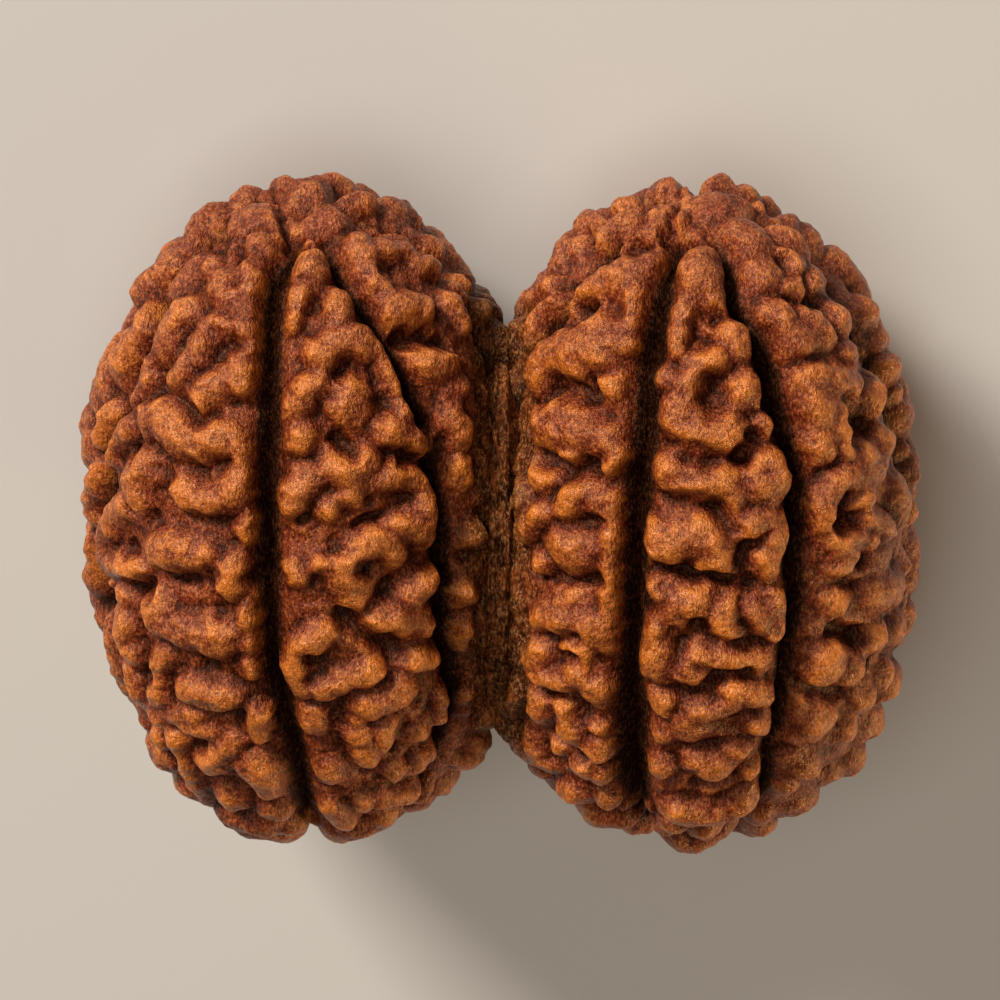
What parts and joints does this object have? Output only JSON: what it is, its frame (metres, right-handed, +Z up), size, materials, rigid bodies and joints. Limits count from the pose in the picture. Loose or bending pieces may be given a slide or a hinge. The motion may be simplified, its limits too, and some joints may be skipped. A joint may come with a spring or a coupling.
{
  "type": "gauri shankar rudraksha",
  "caption": "Twin rudraksha nut grown together side by side, with deep lengthwise grooves and wrinkled, knobbly ridges, lying on its back.",
  "frame": {"origin": "on the surface the twin nut rests on, under the middle of its bounding box", "axes": "+X across the two nuts, +Y along them to the stalk end, +Z up from the surface, towards the side the picture shows"},
  "size_m": [0.0338, 0.0284, 0.0187],
  "materials": {
    "nutshell": "oiled woody nutshell, satin, orange-brown on the crests and dark brown in the grooves"
  },
  "bodies": {
    "root": {"rudraksha": "nutshell"}
  },
  "joints": []
}
